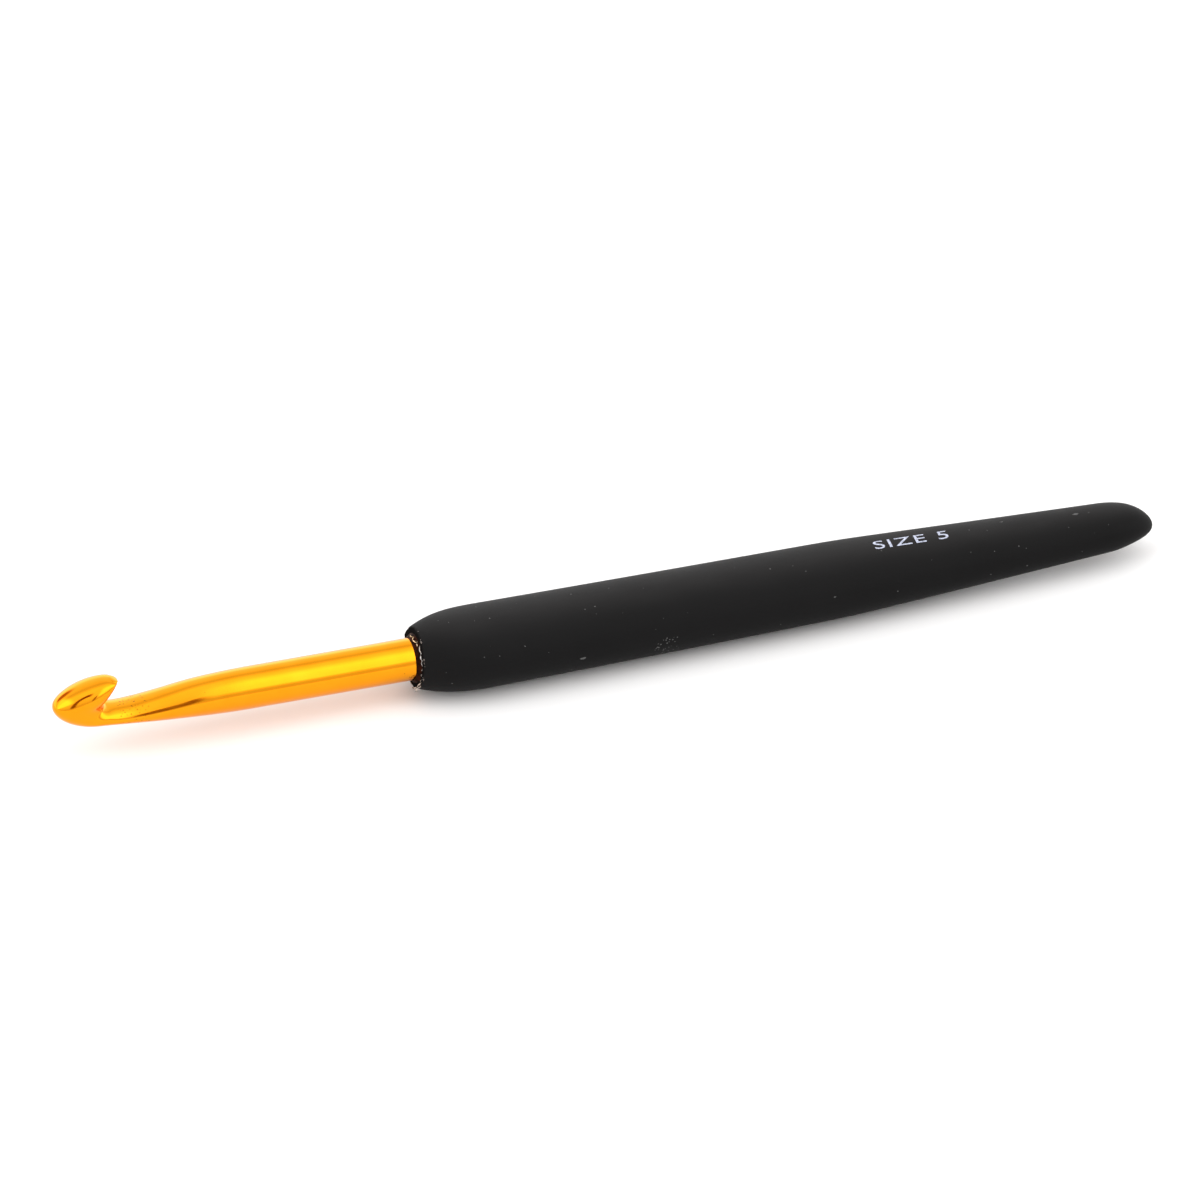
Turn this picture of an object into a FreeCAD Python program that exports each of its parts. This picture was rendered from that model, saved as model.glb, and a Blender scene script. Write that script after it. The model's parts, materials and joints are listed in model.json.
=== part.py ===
import FreeCAD, Part
import math
import os
import Sketcher

# Crochet hook, size 5.0 mm: a formed aluminium hook whose tang is bonded into a hard core,
# with a soft skin moulded over the core.
#
# Design axes: the origin is the centre of the handle's mouth, on the shaft's axis. -X runs along the
# shaft to the hook's tip, +X runs into the handle towards its butt, and +Z is the side that the hook's
# mouth opens to. The finished pieces all get one placement, which tips them by the small angle at which
# the handle rests on its underside, and puts the origin on the table under the middle of the tool.

V = FreeCAD.Vector
doc = FreeCAD.newDocument("crochet_hook")

# ------------------------------------------------------------------ driving dimensions, mm and degrees
DIMENSIONS = [
    ("shaft_radius", 2.5, "the 5.0 mm size of the hook"),
    ("shaft_length", 20.0, "straight shaft between the neck and the mouth"),
    ("shoulder", 3.0, "how far the full shaft enters the handle"),
    ("tang_radius", 1.9, "shaft turned down inside the core"),
    ("tang_end", 50.0, "mouth to the end of the tang"),
    ("flat_start", 30.0, "where the two flats of the tang begin"),
    ("flat_level", 1.4, "axis to each flat"),
    ("head_centre", 37.7, "mouth to the middle of the head"),
    ("head_rise", 2.0, "shaft's axis up to the middle of the head"),
    ("head_length", 6.2, "half length of the head"),
    ("head_depth", 3.1, "middle of the head down to its underside"),
    ("head_crest", 2.9, "middle of the head up to its top"),
    ("brow", 1.66, "fullness of the head's upper front, 2 is an ellipse"),
    ("throat_reach", 37.25, "mouth to the centre of the throat's arc"),
    ("throat_rise", 1.68, "shaft's axis up to the centre of the throat's arc"),
    ("throat_radius", 0.62, "arc at the bottom of the hook's mouth"),
    ("undercut", 54.5, "lean of the lip's inner wall above the shaft"),
    ("wall_edge", 2.6, "how square the inner wall is, 2 is round"),
    ("mouth_slant", 0.6, "how far the top of the mouth is set back"),
    ("slant_fade", 6.0, "length over which the slant fades out"),
    ("mouth_height", 3.6, "half height of the handle at its mouth"),
    ("belly_height", 4.556, "half height of the handle where it is fattest"),
    ("belly_start", 8.5, "mouth to the fattest place"),
    ("nose_power", 3.1, "fullness of the handle's front"),
    ("front_taper", 0.00946, "loss of half height per mm along the grip"),
    ("rear_taper", 0.04614, "loss of half height per mm along the tail"),
    ("knee", 53.0, "where the grip passes into the tail"),
    ("knee_softness", 0.045, "rounding of that change"),
    ("dome_length", 6.0, "rounded end of the butt"),
    ("handle_length", 90.5, "mouth to butt"),
    ("mouth_ratio", 1.0, "width of the handle over its height, at its mouth"),
    ("width_ratio", 1.25, "width of the handle over its height, from the belly on"),
    ("spine_rise", 0.125, "handle's centre above the shaft's axis"),
    ("spine_slope", 0.0078, "climb of the handle's centre line per mm"),
    ("spine_bend", 0.0001, "its upward bend"),
    ("droop_start", 86.8, "where the butt's rounded end turns down"),
    ("droop", 0.045, "how fast it turns down"),
    ("skin_wall", 1.2, "soft skin over the hard core"),
    ("core_end", 83.0, "mouth to the rear end of the core"),
    ("bond_radius", 2.9, "outside of the ring of adhesive at the mouth"),
    ("bond_depth", 1.6, "its depth from the mouth"),
    ("bond_recess", 0.3, "mouth to the outer edge of the ring"),
    ("bond_creep", -0.1, "mouth to its inner edge, which creeps out along the shaft"),
    ("rest_tilt", 1.25, "tip up, when the handle lies on its underside"),
    ("rest_flat", 0.06, "depth of the narrow flat that the handle rests on"),
    ("overshoot", 1.0, "how far a solid that cuts or joins another runs past the face it meets"),
]
sheet = doc.addObject("Spreadsheet::Sheet", "dims")
for row, (alias, value, meaning) in enumerate(DIMENSIONS, start=1):
    sheet.set("A%d" % row, alias)
    sheet.set("B%d" % row, str(value))
    sheet.set("C%d" % row, meaning)
    sheet.setAlias("B%d" % row, alias)
doc.recompute()


def dim(alias):
    """A driving dimension, as the sheet holds it."""
    return float(sheet.get(alias))


def bind(obj, bindings):
    """Bind an object's properties to expressions on the sheet."""
    for name, expression in bindings.items():
        obj.setExpression(name, expression)


# ------------------------------------------------------------------ skinned solids
def closed_section(inner, outer, half_width, inner_power=2.0, count=24):
    """A closed curve between two points of the XZ plane, half_width wide to each side of it."""
    middle = (inner + outer) * 0.5
    reach = (outer - inner) * 0.5
    angles = [2 * math.pi * k / count for k in range(count + 1)]
    points = []
    for angle in angles[:-1]:
        along = math.cos(angle)
        if along < 0:
            along = -abs(along) ** (2.0 / inner_power)
        points.append(middle + reach * along + V(0, half_width * math.sin(angle), 0))
    curve = Part.BSplineCurve()
    curve.interpolate(Points=points, PeriodicFlag=True, Parameters=angles)
    return curve


def skinned_solid(curves):
    """One smooth surface through the closed curves, with a flat cap at each end."""
    surface = Part.BSplineSurface()
    surface.buildFromNSections(curves)
    caps = [Part.Face(Part.Wire(curve.toShape())) for curve in (curves[0], curves[-1])]
    solid = Part.Solid(Part.makeShell([surface.toShape()] + caps))
    if solid.Volume < 0:
        solid.reverse()
    return solid


def skinned_feature(name, curves):
    feature = doc.addObject("Part::Feature", name)
    feature.Shape = skinned_solid(curves)
    return feature


# ------------------------------------------------------------------ hook: shaft, neck, head and lip
def head_outline(angle):
    """Outer outline of the head: 0 degrees is the tip, -90 its underside, 90 its top."""
    power = dim("brow") if angle > 0 else 2.0
    turn = math.radians(angle)
    forward = math.copysign(abs(math.cos(turn)) ** (2 / power), math.cos(turn))
    upward = math.copysign(abs(math.sin(turn)) ** (2 / power), math.sin(turn))
    half_height = dim("head_crest") if angle > 0 else dim("head_depth")
    return V(-dim("head_centre") - dim("head_length") * forward, 0,
             dim("head_rise") + half_height * upward)


def throat_point(angle, along_wall=0.0):
    """Inner outline: a point of the throat's arc, or one further up the lip's straight wall."""
    turn = math.radians(angle)
    lean = math.radians(dim("undercut"))
    return V(-dim("throat_reach") + dim("throat_radius") * math.cos(turn) + along_wall * math.cos(lean), 0,
             dim("throat_rise") + dim("throat_radius") * math.sin(turn) + along_wall * math.sin(lean))


# neck: distance from the mouth, then top and bottom over the shaft's axis, and half width
NECK = [
    (22.5, 2.45, -2.46, 2.48),
    (25.0, 2.31, -2.34, 2.44),
    (27.5, 2.06, -2.16, 2.38),
    (30.0, 1.66, -1.95, 2.29),
    (32.5, 1.28, -1.69, 2.20),
    (34.8, 1.05, -1.43, 2.10),
    (36.6, 1.06, -1.26, 2.04),
]
# head: angle on the throat's arc, angle on the head's outline, half width
HEAD = [
    (-90, -86, 2.05),
    (-110, -66, 2.10),
    (-135, -43, 2.12),
    (-160, -20, 2.12),
    (-188, 4, 2.14),
    (-212, 27, 2.20),
]
# lip: distance up the wall, angle on the head's outline, half width
LIP = [
    (0.5, 44, 2.20),
    (1.1, 58.5, 2.04),
    (1.65, 70.5, 1.80),
    (2.12, 80.5, 1.52),
    (2.48, 88, 1.22),
    (2.72, 94, 0.88),
    (2.84, 98, 0.5),
]
radius = dim("shaft_radius")
wall_angle = dim("undercut") - 270
hook_curves = []
SHAFT_STEPS = 9
for step in range(SHAFT_STEPS + 1):
    station = dim("shoulder") - (dim("shoulder") + dim("shaft_length")) * step / SHAFT_STEPS
    hook_curves.append(closed_section(V(station, 0, radius), V(station, 0, -radius), radius))
for reach, top, bottom, half_width in NECK:
    hook_curves.append(closed_section(V(-reach, 0, top), V(-reach, 0, bottom), half_width))
for inner_angle, outer_angle, half_width in HEAD:
    hook_curves.append(closed_section(
        throat_point(inner_angle), head_outline(outer_angle), half_width, dim("wall_edge")))
for climb, outer_angle, half_width in LIP:
    hook_curves.append(closed_section(
        throat_point(wall_angle, climb), head_outline(outer_angle), half_width, dim("wall_edge")))
hook_blank = skinned_feature("hook_blank", hook_curves)

tang_round = doc.addObject("Part::Cylinder", "tang_round")
tang_round.Placement.Rotation = FreeCAD.Rotation(V(0, 1, 0), 90)
bind(tang_round, {
    "Radius": "dims.tang_radius * 1 mm",
    "Height": "(dims.tang_end - dims.shoulder + dims.overshoot) * 1 mm",
    "Placement.Base.x": "(dims.shoulder - dims.overshoot) * 1 mm",
})
flats = []
for side in (1, -1):
    flat = doc.addObject("Part::Box", "flat_above" if side > 0 else "flat_below")
    bind(flat, {
        "Length": "(dims.tang_end - dims.flat_start + dims.overshoot) * 1 mm",
        "Width": "4 * dims.tang_radius * 1 mm",
        "Height": "dims.tang_radius * 1 mm",
        "Placement.Base.x": "dims.flat_start * 1 mm",
        "Placement.Base.y": "-2 * dims.tang_radius * 1 mm",
        "Placement.Base.z": ("dims.flat_level * 1 mm" if side > 0
                             else "-(dims.flat_level + dims.tang_radius) * 1 mm"),
    })
    flats.append(flat)
flat_pair = doc.addObject("Part::MultiFuse", "flat_pair")
flat_pair.Shapes = flats
tang = doc.addObject("Part::Cut", "tang")
tang.Base = tang_round
tang.Tool = flat_pair
hook = doc.addObject("Part::Fuse", "hook")
hook.Base = hook_blank
hook.Tool = tang


# ------------------------------------------------------------------ handle: skin over core
def handle_half_height(reach):
    """Half height of the handle at a distance from its mouth."""
    mouth, belly, start = dim("mouth_height"), dim("belly_height"), dim("belly_start")
    if reach < start:
        return mouth + (belly - mouth) * (1 - (1 - reach / start) ** dim("nose_power"))
    grip = belly - dim("front_taper") * (reach - start)
    knee_height = belly - dim("front_taper") * (dim("knee") - start)
    tail = knee_height - dim("rear_taper") * (reach - dim("knee"))
    height = (grip + tail) / 2 - math.hypot((grip - tail) / 2, dim("knee_softness"))
    into_dome = (reach - dim("handle_length") + dim("dome_length")) / dim("dome_length")
    if into_dome > 0:
        height *= math.sqrt(max(0.0, 1 - into_dome ** 2))
    return height


def handle_half_width(reach):
    """Half width of the handle, which is round at its mouth and wider than high behind it."""
    before_belly = max(0.0, 1 - reach / dim("belly_start"))
    ratio = dim("width_ratio") + (dim("mouth_ratio") - dim("width_ratio")) * before_belly ** 2
    return handle_half_height(reach) * ratio


def handle_centre(reach):
    """Height of the handle's centre line over the shaft's axis."""
    past = max(0.0, reach - dim("belly_start"))
    past_droop = max(0.0, reach - dim("droop_start"))
    return (dim("spine_rise") + dim("spine_slope") * past + dim("spine_bend") * past ** 2
            - dim("droop") * past_droop ** 2)


def handle_curve(reach, inset=0.0):
    half_height = handle_half_height(reach) - inset
    half_width = handle_half_width(reach) - inset
    centre = handle_centre(reach)
    set_back = dim("mouth_slant") * max(0.0, 1 - reach / dim("slant_fade"))
    return closed_section(
        V(reach + set_back, 0, centre + half_height), V(reach, 0, centre - half_height), half_width)


# distances from the mouth of the sections, closer together where the handle bends more
HANDLE_STATIONS = [0, 0.8, 1.8, 3.2, 5.2, 8, 12, 17, 23, 29, 35, 41, 46.5, 51.5, 56, 61, 66.5, 72, 77,
                   81, 84, 86.2, 87.8, 88.9, 89.6, 90.0, 90.25, 90.4, 90.47]
grip_blank = skinned_feature("grip_blank", [handle_curve(reach) for reach in HANDLE_STATIONS])
CORE_STATIONS = [8, 13, 18, 24, 30, 36, 42, 47, 52, 57, 62, 67, 72, 77, 80.5]
core_reaches = [dim("shoulder")] + CORE_STATIONS + [dim("core_end")]
core_blank = skinned_feature(
    "core_blank", [handle_curve(reach, dim("skin_wall")) for reach in core_reaches])

handle_core = doc.addObject("Part::Cut", "handle_core")
handle_core.Base = core_blank
handle_core.Tool = tang

shaft_passage = doc.addObject("Part::Cylinder", "shaft_passage")
bond_pocket = doc.addObject("Part::Cylinder", "bond_pocket")
for bore, bore_radius, bore_depth in ((shaft_passage, "shaft_radius", "shoulder"),
                                      (bond_pocket, "bond_radius", "bond_depth")):
    bore.Placement.Rotation = FreeCAD.Rotation(V(0, 1, 0), 90)
    bind(bore, {
        "Radius": "dims.%s * 1 mm" % bore_radius,
        "Height": "(dims.%s + dims.overshoot) * 1 mm" % bore_depth,
        "Placement.Base.x": "-dims.overshoot * 1 mm",
    })
skin_cavity = doc.addObject("Part::MultiFuse", "skin_cavity")
skin_cavity.Shapes = [core_blank, shaft_passage, bond_pocket]
grip_round = doc.addObject("Part::Cut", "grip_round")
grip_round.Base = grip_blank
grip_round.Tool = skin_cavity


# ------------------------------------------------------------------ bond ring: adhesive at the mouth
def origin_plane(body, role):
    return next(item for item in body.Origin.OriginFeatures if item.Role == role)


bond_ring = doc.addObject("PartDesign::Body", "bond_ring")
profile = bond_ring.newObject("Sketcher::SketchObject", "bond_profile")
profile.AttachmentSupport = [(origin_plane(bond_ring, "XZ_Plane"), "")]
profile.MapMode = "FlatFace"
inner_r, outer_r = dim("shaft_radius"), dim("bond_radius")
front_in, front_out, rear = dim("bond_creep"), dim("bond_recess"), dim("bond_depth")
corners = [V(front_in, inner_r, 0), V(front_out, outer_r, 0), V(rear, outer_r, 0), V(rear, inner_r, 0)]
for index, corner in enumerate(corners):
    profile.addGeometry(Part.LineSegment(corner, corners[(index + 1) % 4]), False)
for index in range(4):
    profile.addConstraint(Sketcher.Constraint("Coincident", index, 2, (index + 1) % 4, 1))
placed = [
    ("DistanceX", 0, 1, front_in, "front_in", "dims.bond_creep * 1 mm"),
    ("DistanceY", 0, 1, inner_r, "inner_r", "dims.shaft_radius * 1 mm"),
    ("DistanceX", 1, 1, front_out, "front_out", "dims.bond_recess * 1 mm"),
    ("DistanceY", 1, 1, outer_r, "outer_r", "dims.bond_radius * 1 mm"),
    ("DistanceX", 2, 1, rear, "rear", "dims.bond_depth * 1 mm"),
]
for kind, line, end, size, label, expression in placed:
    number = profile.addConstraint(Sketcher.Constraint(kind, -1, 1, line, end, size))
    profile.renameConstraint(number, label)
    profile.setExpression("Constraints." + label, expression)
profile.addConstraint(Sketcher.Constraint("Horizontal", 1))
profile.addConstraint(Sketcher.Constraint("Vertical", 2))
profile.addConstraint(Sketcher.Constraint("Horizontal", 3))
ring = bond_ring.newObject("PartDesign::Revolution", "ring")
ring.Profile = profile
ring.ReferenceAxis = (profile, ["H_Axis"])
ring.Angle = 360
bond_ring.Tip = ring

# ------------------------------------------------------------------ lay the tool down on the table
doc.recompute()
tilt = FreeCAD.Rotation(V(0, 1, 0), dim("rest_tilt"))


def tilted_box(shape):
    copy = shape.copy()
    copy.Placement = FreeCAD.Placement(V(0, 0, 0), tilt)
    return copy.optimalBoundingBox(False, False)


whole = tilted_box(hook_blank.Shape)
whole.add(tilted_box(grip_blank.Shape))
SHIFTS = [("rest_x", -(whole.XMin + whole.XMax) / 2), ("rest_z", -(whole.ZMin + dim("rest_flat")))]
for row, (alias, value) in enumerate(SHIFTS, start=len(DIMENSIONS) + 1):
    sheet.set("A%d" % row, alias)
    sheet.set("B%d" % row, "%.4f" % value)
    sheet.setAlias("B%d" % row, alias)
doc.recompute()
for piece in (hook, bond_ring, handle_core, grip_round):
    piece.Placement = FreeCAD.Placement(V(0, 0, 0), tilt)
    bind(piece, {
        "Placement.Base.x": "dims.rest_x * 1 mm",
        "Placement.Base.z": "dims.rest_z * 1 mm",
        "Placement.Rotation.Angle": "dims.rest_tilt * 1 deg",
    })

# the skin is trimmed level with the table, which leaves the narrow flat that the tool rests on
table = doc.addObject("Part::Box", "table")
bind(table, {
    "Length": "dims.handle_length * 1 mm",
    "Width": "4 * dims.belly_height * 1 mm",
    "Height": "dims.belly_height * 1 mm",
    "Placement.Base.x": "-dims.handle_length / 2 * 1 mm",
    "Placement.Base.y": "-2 * dims.belly_height * 1 mm",
    "Placement.Base.z": "-dims.belly_height * 1 mm",
})
grip_skin = doc.addObject("Part::Cut", "grip_skin")
grip_skin.Base = grip_round
grip_skin.Tool = table
doc.recompute()

# ------------------------------------------------------------------ check and write
for obj in doc.Objects:
    if "Invalid" in obj.State or "Error" in obj.State:
        raise RuntimeError("%s failed: %s" % (obj.Name, obj.State))
os.makedirs("parts", exist_ok=True)
for piece in (hook, bond_ring, handle_core, grip_skin):
    shape = piece.Shape
    if shape.isNull() or not shape.isValid() or len(shape.Solids) != 1:
        raise RuntimeError("%s has no valid single solid" % piece.Label)
    shape.exportStep("parts/%s.step" % piece.Label)
    box = shape.optimalBoundingBox(False, False)
    print("%-12s %8.1f mm3  x %7.2f %7.2f  y %6.2f %6.2f  z %6.2f %6.2f" % (
        piece.Label, shape.Volume, box.XMin, box.XMax, box.YMin, box.YMax, box.ZMin, box.ZMax))
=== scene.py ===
import bmesh
import bpy
import json
import math
import numpy as np
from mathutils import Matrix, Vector


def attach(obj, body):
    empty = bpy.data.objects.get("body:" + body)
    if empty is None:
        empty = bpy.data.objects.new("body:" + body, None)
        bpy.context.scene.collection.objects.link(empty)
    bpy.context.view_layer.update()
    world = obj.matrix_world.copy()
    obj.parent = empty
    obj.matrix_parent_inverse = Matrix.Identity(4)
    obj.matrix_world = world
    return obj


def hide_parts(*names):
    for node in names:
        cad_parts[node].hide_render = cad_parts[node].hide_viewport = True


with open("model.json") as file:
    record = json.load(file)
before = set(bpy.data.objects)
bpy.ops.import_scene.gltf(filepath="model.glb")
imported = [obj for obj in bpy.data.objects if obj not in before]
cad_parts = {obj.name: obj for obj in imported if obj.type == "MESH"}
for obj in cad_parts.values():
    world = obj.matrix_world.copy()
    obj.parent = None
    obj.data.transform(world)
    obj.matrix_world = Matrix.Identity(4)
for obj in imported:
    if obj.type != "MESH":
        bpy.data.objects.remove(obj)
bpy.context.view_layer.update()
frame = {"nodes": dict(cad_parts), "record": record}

# A crochet hook lying on a pale table: gold anodised aluminium in a black soft-touch handle.
#
# The pieces are worked out in the tool's own axes, in millimetres: the origin is the centre of the
# handle's mouth on the shaft's axis, -X runs to the hook's tip, +X runs to the butt, and +Z is the side
# that the hook's mouth opens to. place() turns that into the frame, in metres.

MM = 0.001

# ------------------------------------------------------------------ the tool's axes, from the frame
SHAFT_RADIUS = 2.5
SHAFT_LENGTH = 20.0         # of the straight round shaft, whose middle the record's mount gives
shaft_mount = next(mount for mount in frame["record"]["mounts"] if mount["name"] == "shaft")
tipward = Vector(shaft_mount["axis"]).normalized()
mouth_centre = Vector(shaft_mount["pos_m"]) - tipward * (SHAFT_LENGTH / 2 * MM)
buttward = -tipward
sideways = Vector((0, 1, 0))
lipward = buttward.cross(sideways)


def place(points):
    """Points in the tool's axes, in millimetres, as points in the frame, in metres."""
    axes = np.array([buttward, sideways, lipward])
    return np.array(mouth_centre) + np.asarray(points, float) * MM @ axes


# ------------------------------------------------------------------ outlines of the hook, millimetres
HEAD_CENTRE = 37.7          # middle of the head's outline, from the mouth
HEAD_RISE = 2.0             # and over the shaft's axis
HEAD_LENGTH = 6.2           # from there to the tip
HEAD_DEPTH = 3.1            # to its underside
HEAD_CREST = 2.9            # and to its top
BROW = 1.66                 # power of the top half's outline: 2 is an ellipse, and less is more pointed
THROAT_REACH = 37.25
THROAT_RISE = 1.68
THROAT_RADIUS = 0.62
UNDERCUT = math.radians(54.5)   # slope of the lip's wall, which hangs over the throat
WALL_EDGE = 2.6             # power of the sections' inner half: squarer than an ellipse, which is 2
# neck: distance from the mouth, top, bottom and half width
NECK = [
    (22.5, 2.45, -2.46, 2.48),
    (25.0, 2.31, -2.34, 2.44),
    (27.5, 2.06, -2.16, 2.38),
    (30.0, 1.66, -1.95, 2.29),
    (32.5, 1.28, -1.69, 2.20),
    (34.8, 1.05, -1.43, 2.10),
    (36.6, 1.06, -1.26, 2.04),
]
# head: angle on the throat's arc, angle on the head's outline, half width
HEAD = [
    (-90, -86, 2.05),
    (-110, -66, 2.10),
    (-135, -43, 2.12),
    (-160, -20, 2.12),
    (-188, 4, 2.14),
    (-212, 27, 2.20),
]
# lip: distance up the wall, angle on the head's outline, half width
LIP = [
    (0.5, 44, 2.20),
    (1.1, 58.5, 2.04),
    (1.65, 70.5, 1.80),
    (2.12, 80.5, 1.52),
    (2.48, 88, 1.27),
    (2.72, 94, 1.04),
    (2.84, 98, 0.76),
]
# tang: the thinner end inside the handle, with two flats that stop the hook from turning
TANG_RADIUS = 1.9
TANG_END = 50.0
FLAT_START = 30.0
FLAT_LEVEL = 1.4
SHOULDER = 3.0

AROUND = 144                # points round each ring


def head_outline(degrees):
    """Outer outline of the head: 0 degrees is the tip, -90 its underside, 90 its top."""
    power = BROW if degrees > 0 else 2.0
    turn = math.radians(degrees)
    forward = math.copysign(abs(math.cos(turn)) ** (2 / power), math.cos(turn))
    upward = math.copysign(abs(math.sin(turn)) ** (2 / power), math.sin(turn))
    half_height = HEAD_CREST if degrees > 0 else HEAD_DEPTH
    return -HEAD_CENTRE - HEAD_LENGTH * forward, HEAD_RISE + half_height * upward


def throat_point(turn, along_wall=0.0):
    """Inner outline: a point of the throat's arc, or one further up the lip's straight wall."""
    return (-THROAT_REACH + THROAT_RADIUS * math.cos(turn) + along_wall * math.cos(UNDERCUT),
            THROAT_RISE + THROAT_RADIUS * math.sin(turn) + along_wall * math.sin(UNDERCUT))


def smooth_rows(rows, per_step):
    """A natural cubic spline through rows of numbers, per_step samples to each row."""
    rows = np.asarray(rows, float)
    count = len(rows)
    bends = np.zeros_like(rows)
    system = np.diag(np.full(count - 2, 4.0)) + np.eye(count - 2, k=1) + np.eye(count - 2, k=-1)
    bends[1:-1] = np.linalg.solve(system, 6 * (rows[2:] - 2 * rows[1:-1] + rows[:-2]))
    samples = []
    for step in range(count - 1):
        for part in range(per_step):
            b = part / per_step
            a = 1 - b
            samples.append(a * rows[step] + b * rows[step + 1]
                           + ((a ** 3 - a) * bends[step] + (b ** 3 - b) * bends[step + 1]) / 6)
    samples.append(rows[-1])
    return samples


def section(inner, outer, half_width, inner_power=2.0):
    """A closed ring between two points of the XZ plane, half_width wide to each side of it."""
    inner, outer = np.array([inner[0], 0, inner[1]]), np.array([outer[0], 0, outer[1]])
    turn = np.linspace(0, 2 * math.pi, AROUND, endpoint=False)
    along = np.cos(turn)
    along = np.where(along < 0, -np.abs(along) ** (2 / inner_power), along)
    ring = (inner + outer) / 2 + np.outer(along, (outer - inner) / 2)
    ring[:, 1] += half_width * np.sin(turn)
    return ring


def circle(reach, radius, flat=None):
    """A ring round the shaft's axis, cut to flats above and below where flat is given."""
    ring = section((reach, radius), (reach, -radius), radius)
    if flat is not None:
        ring[:, 2] = np.clip(ring[:, 2], -flat, flat)
    return ring


# ------------------------------------------------------------------ outlines of the handle, millimetres
MOUTH_SLANT = 0.6           # how much further back the mouth's top is than its bottom
SLANT_FADE = 6.0
MOUTH_HEIGHT = 3.6          # half height at the mouth
BELLY_HEIGHT = 4.556        # and where the nose ends, at BELLY_START
BELLY_START = 8.5
NOSE_POWER = 3.1
FRONT_TAPER = 0.00946
REAR_TAPER = 0.04614        # taper behind the knee
KNEE = 53.0
KNEE_SOFTNESS = 0.045
DOME_LENGTH = 6.0
HANDLE_LENGTH = 90.5
MOUTH_RATIO = 1.0           # width over height at the mouth
WIDTH_RATIO = 1.25          # and behind it
SPINE_RISE = 0.125          # the centre line's height at the mouth
SPINE_SLOPE = 0.0078
SPINE_BEND = 0.0001
DROOP_START = 86.8          # where the butt starts to turn down
DROOP = 0.045
SKIN_WALL = 1.2
CORE_END = 83.0
BOND_RADIUS = 2.9
BOND_DEPTH = 1.6


def handle_half_height(reach):
    """Half height of the handle at a distance from its mouth."""
    if reach < BELLY_START:
        rise = (BELLY_HEIGHT - MOUTH_HEIGHT) * (1 - (1 - reach / BELLY_START) ** NOSE_POWER)
        return MOUTH_HEIGHT + rise
    grip = BELLY_HEIGHT - FRONT_TAPER * (reach - BELLY_START)
    knee_height = BELLY_HEIGHT - FRONT_TAPER * (KNEE - BELLY_START)
    tail = knee_height - REAR_TAPER * (reach - KNEE)
    height = (grip + tail) / 2 - math.hypot((grip - tail) / 2, KNEE_SOFTNESS)
    into_dome = (reach - HANDLE_LENGTH + DOME_LENGTH) / DOME_LENGTH
    if into_dome > 0:
        height *= math.sqrt(max(0.0, 1 - into_dome ** 2))
    return height


def handle_half_width(reach):
    """Half width of the handle, which is round at its mouth and wider than high behind it."""
    before_belly = max(0.0, 1 - reach / BELLY_START)
    ratio = WIDTH_RATIO + (MOUTH_RATIO - WIDTH_RATIO) * before_belly ** 2
    return handle_half_height(reach) * ratio


def handle_centre(reach):
    """Height of the handle's centre line over the shaft's axis."""
    past = max(0.0, reach - BELLY_START)
    past_droop = max(0.0, reach - DROOP_START)
    return SPINE_RISE + SPINE_SLOPE * past + SPINE_BEND * past ** 2 - DROOP * past_droop ** 2


def handle_ring(reach, inset=0.0):
    """A ring of the handle at a distance from its mouth, inset from its surface."""
    half_height = handle_half_height(reach) - inset
    half_width = handle_half_width(reach) - inset
    centre = handle_centre(reach)
    set_back = MOUTH_SLANT * max(0.0, 1 - reach / SLANT_FADE)
    return section((reach + set_back, centre + half_height), (reach, centre - half_height), half_width)


# ------------------------------------------------------------------ mesh helpers
def ring_faces(rings, looped):
    """Points and faces of a closed tube through rings of points.

    The last ring joins the first where looped is true, and otherwise each end closes to a point at
    its middle.
    """
    count = len(rings[0])
    points = np.concatenate(rings)
    faces = []
    for r in range(len(rings) if looped else len(rings) - 1):
        low, high = r * count, (r + 1) % len(rings) * count
        for k in range(count):
            faces.append((low + k, low + (k + 1) % count, high + (k + 1) % count, high + k))
    if not looped:
        first, last = len(points), len(points) + 1
        points = np.concatenate([points, rings[0].mean(0)[None], rings[-1].mean(0)[None]])
        end = (len(rings) - 1) * count
        for k in range(count):
            faces.append((first, (k + 1) % count, k))
            faces.append((last, end + k, end + (k + 1) % count))
    return points, faces


def ring_mesh(name, tubes, material, looped=False, masks=None):
    """One smooth piece of closed tubes, each a list of rings of points in the tool's axes.

    masks holds, under each name that the material reads, a value for every ring of every tube.
    """
    points, faces, counts = [], [], []
    for rings in tubes:
        tube_points, tube_faces = ring_faces(rings, looped)
        base = sum(len(part) for part in points)
        faces += [tuple(base + index for index in face) for face in tube_faces]
        points.append(tube_points)
        counts.append(len(tube_points) - len(rings) * len(rings[0]))
    placed = place(np.concatenate(points))
    placed[:, 2] = np.maximum(placed[:, 2], 0.0)
    mesh = bpy.data.meshes.new(name)
    mesh.from_pydata(placed.tolist(), [], faces)
    mesh.update()
    for label, per_tube in (masks or {}).items():
        values = []
        for rings, per_ring, ends in zip(tubes, per_tube, counts):
            values += [value for value in per_ring for _ in rings[0]]
            values += [per_ring[0], per_ring[-1]][:ends]
        mesh.attributes.new(label, "FLOAT", "POINT").data.foreach_set("value", values)
    return finished(name, mesh, material)


def finished(name, mesh, material):
    """The mesh as a smooth piece of the tool, its faces turned outward."""
    mesh.calc_loop_triangles()
    corners = np.array([[mesh.vertices[i].co for i in tri.vertices] for tri in mesh.loop_triangles])
    volume = np.einsum("ij,ij->i", corners[:, 0], np.cross(corners[:, 1], corners[:, 2])).sum() / 6
    if volume < 0:
        mesh.flip_normals()
    mesh.polygons.foreach_set("use_smooth", [True] * len(mesh.polygons))
    mesh.materials.clear()
    mesh.materials.append(material)
    piece = bpy.data.objects.new(name, mesh)
    bpy.context.scene.collection.objects.link(piece)
    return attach(piece, "root")


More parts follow.
